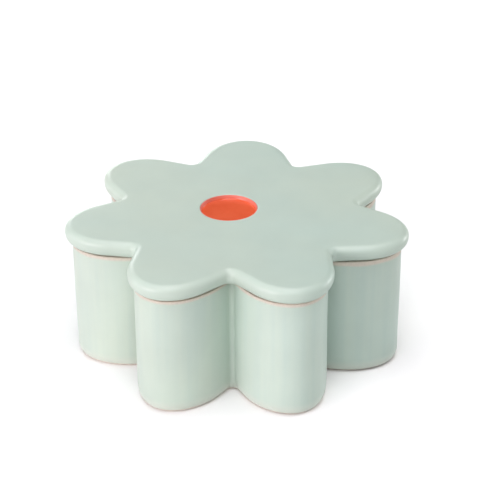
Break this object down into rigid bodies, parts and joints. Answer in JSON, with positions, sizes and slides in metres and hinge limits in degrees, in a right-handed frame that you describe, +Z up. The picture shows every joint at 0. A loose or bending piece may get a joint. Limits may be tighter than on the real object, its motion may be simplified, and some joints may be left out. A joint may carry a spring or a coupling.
{
  "type": "mixing palette",
  "caption": "Lidded ceramic mixing palette shaped as a flower: petal paint wells round a centre well, and a flat lift-off lid with a round glaze dot.",
  "frame": {"origin": "centre of the flower, on the flat underside of the dish's foot", "axes": "+Z up along the axis of the flower, out of the lid's top; +Y along one petal; +X to its right seen from above with +Y away"},
  "size_m": [0.1398, 0.1371, 0.0594],
  "materials": {
    "mint_glaze": "satin pale mint glaze over a cream stoneware body, bare at the rim and foot",
    "orange_glaze": "gloss orange glaze"
  },
  "bodies": {
    "dish": {"base_dish": "mint_glaze"},
    "lid": {"lid": "mint_glaze", "centre_dot": "orange_glaze"}
  },
  "joints": [
    {"name": "lid_lift", "type": "slide", "parent": "dish", "child": "lid", "axis": [0, 0, 1], "range_m": [0, 0.08]}
  ]
}
